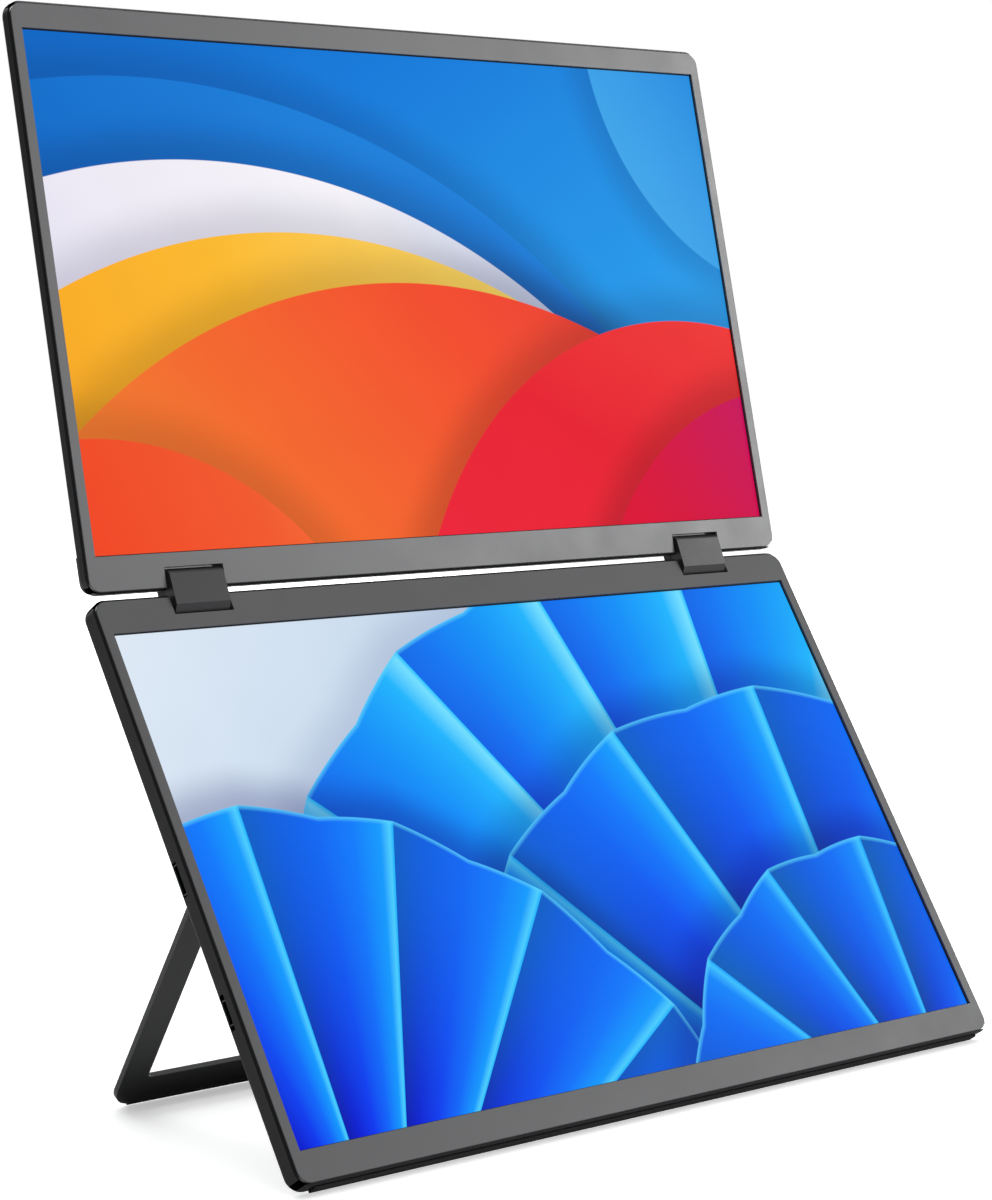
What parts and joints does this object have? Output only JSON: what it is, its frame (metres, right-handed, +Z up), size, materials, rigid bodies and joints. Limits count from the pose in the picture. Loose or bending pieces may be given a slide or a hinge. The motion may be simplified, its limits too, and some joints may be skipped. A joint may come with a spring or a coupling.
{
  "type": "laptop screen extender",
  "caption": "Stacked portable monitors joined by dual-axis hinge links, standing on a fold-out rear kickstand.",
  "frame": {"origin": "middle of the bounding box on the surface that the object stands on", "axes": "+Z up, +X to the viewer's right, the screens face -Y"},
  "size_m": [0.3551, 0.173, 0.4032],
  "materials": {
    "bezel_grey": "fine matte grey",
    "housing_black": "fine matte black",
    "screen_glass": "lit screen, semi gloss",
    "light_guide": "clear acrylic",
    "reflector": "white film",
    "tray_steel": "pressed sheet",
    "steel": "ground",
    "black_steel": "black zinc",
    "board_green": "solder mask",
    "chip_black": "moulded",
    "ribbon_amber": "polyimide",
    "rubber_black": "matte",
    "link_grey": "satin grey",
    "stand_black": "satin black coat",
    "led_white": "white"
  },
  "bodies": {
    "lower_monitor": {"kickstand_pin_left": "steel", "kickstand_pin_right": "steel", "lower_backlight_tray": "tray_steel", "lower_board_chips": "chip_black", "lower_bracket_screws": "black_steel", "lower_button_board": "board_green", "lower_casing_screws": "black_steel", "lower_foot_strip": "rubber_black", "lower_front_bezel": "bezel_grey", "lower_hinge_bracket_left": "steel", "lower_hinge_bracket_right": "steel", "lower_hinge_shaft_left": "steel", "lower_hinge_shaft_right": "steel", "lower_lcd_glass": "screen_glass", "lower_lcd_ribbon": "ribbon_amber", "lower_led_strip": "led_white", "lower_light_guide": "light_guide", "lower_main_board": "board_green", "lower_mini_hdmi_port": "steel", "lower_port_board": "board_green", "lower_port_ribbon": "ribbon_amber", "lower_rear_cover": "housing_black", "lower_reflector_sheet": "reflector", "lower_speaker_left": "chip_black", "lower_speaker_right": "chip_black", "lower_usb_c_port": "steel"},
    "hinge_link_left": {"friction_barrels_left": "steel", "link_front_shell_left": "link_grey", "link_rear_shell_left": "link_grey", "link_screws_left": "black_steel"},
    "upper_monitor": {"upper_backlight_tray": "tray_steel", "upper_board_chips": "chip_black", "upper_bracket_screws": "black_steel", "upper_casing_screws": "black_steel", "upper_driver_board": "board_green", "upper_front_bezel": "bezel_grey", "upper_hinge_bracket_left": "steel", "upper_hinge_bracket_right": "steel", "upper_hinge_shaft_left": "steel", "upper_hinge_shaft_right": "steel", "upper_lcd_glass": "screen_glass", "upper_lcd_ribbon": "ribbon_amber", "upper_led_strip": "led_white", "upper_light_guide": "light_guide", "upper_rear_bumpers": "rubber_black", "upper_rear_cover": "housing_black", "upper_reflector_sheet": "reflector"},
    "hinge_link_right": {"friction_barrels_right": "steel", "link_front_shell_right": "link_grey", "link_rear_shell_right": "link_grey", "link_screws_right": "black_steel"},
    "sync_slider_left": {"sync_slider_left": "chip_black"},
    "sync_slider_right": {"sync_slider_right": "chip_black"},
    "kickstand": {"kickstand_frame": "stand_black", "kickstand_foot_pad": "rubber_black"},
    "power_button": {"power_button": "housing_black"},
    "menu_button": {"menu_button": "housing_black"}
  },
  "joints": [
    {"name": "lower_fold_left", "type": "hinge", "parent": "lower_monitor", "child": "hinge_link_left", "pos_m": [0, 0.03249, 0.18588], "axis": [1, 0, 0], "range_deg": [-9.7, 80.2]},
    {"name": "upper_fold_left", "type": "hinge", "parent": "hinge_link_left", "child": "upper_monitor", "pos_m": [0, 0.03535, 0.19271], "axis": [1, 0, 0], "range_deg": [-9.7, 80.2]},
    {"name": "lower_fold_right", "type": "hinge", "parent": "lower_monitor", "child": "hinge_link_right", "pos_m": [0, 0.03249, 0.18588], "axis": [1, 0, 0], "range_deg": [-9.7, 80.2]},
    {"name": "sync_left", "type": "slide", "parent": "hinge_link_left", "child": "sync_slider_left", "axis": [1, 0, 0], "range_m": [-0.00044, 0.00357]},
    {"name": "sync_right", "type": "slide", "parent": "hinge_link_right", "child": "sync_slider_right", "axis": [1, 0, 0], "range_m": [-0.00044, 0.00357]},
    {"name": "kickstand_fold", "type": "hinge", "parent": "lower_monitor", "child": "kickstand", "pos_m": [0, -0.01262, 0.10851], "axis": [1, 0, 0], "range_deg": [-63.83, 0]},
    {"name": "power_press", "type": "slide", "parent": "lower_monitor", "child": "power_button", "axis": [-1, 0, 0], "range_m": [0, 0.0005], "stiffness_N_per_m": 400},
    {"name": "menu_press", "type": "slide", "parent": "lower_monitor", "child": "menu_button", "axis": [-1, 0, 0], "range_m": [0, 0.0005], "stiffness_N_per_m": 400}
  ],
  "couplings": [
    {"joint": "upper_fold_left", "follows": "lower_fold_left", "ratio": 1},
    {"joint": "lower_fold_right", "follows": "lower_fold_left", "ratio": 1},
    {"joint": "sync_left", "follows": "lower_fold_left", "m_per_rad": 0.0025465},
    {"joint": "sync_right", "follows": "lower_fold_left", "m_per_rad": 0.0025465}
  ]
}
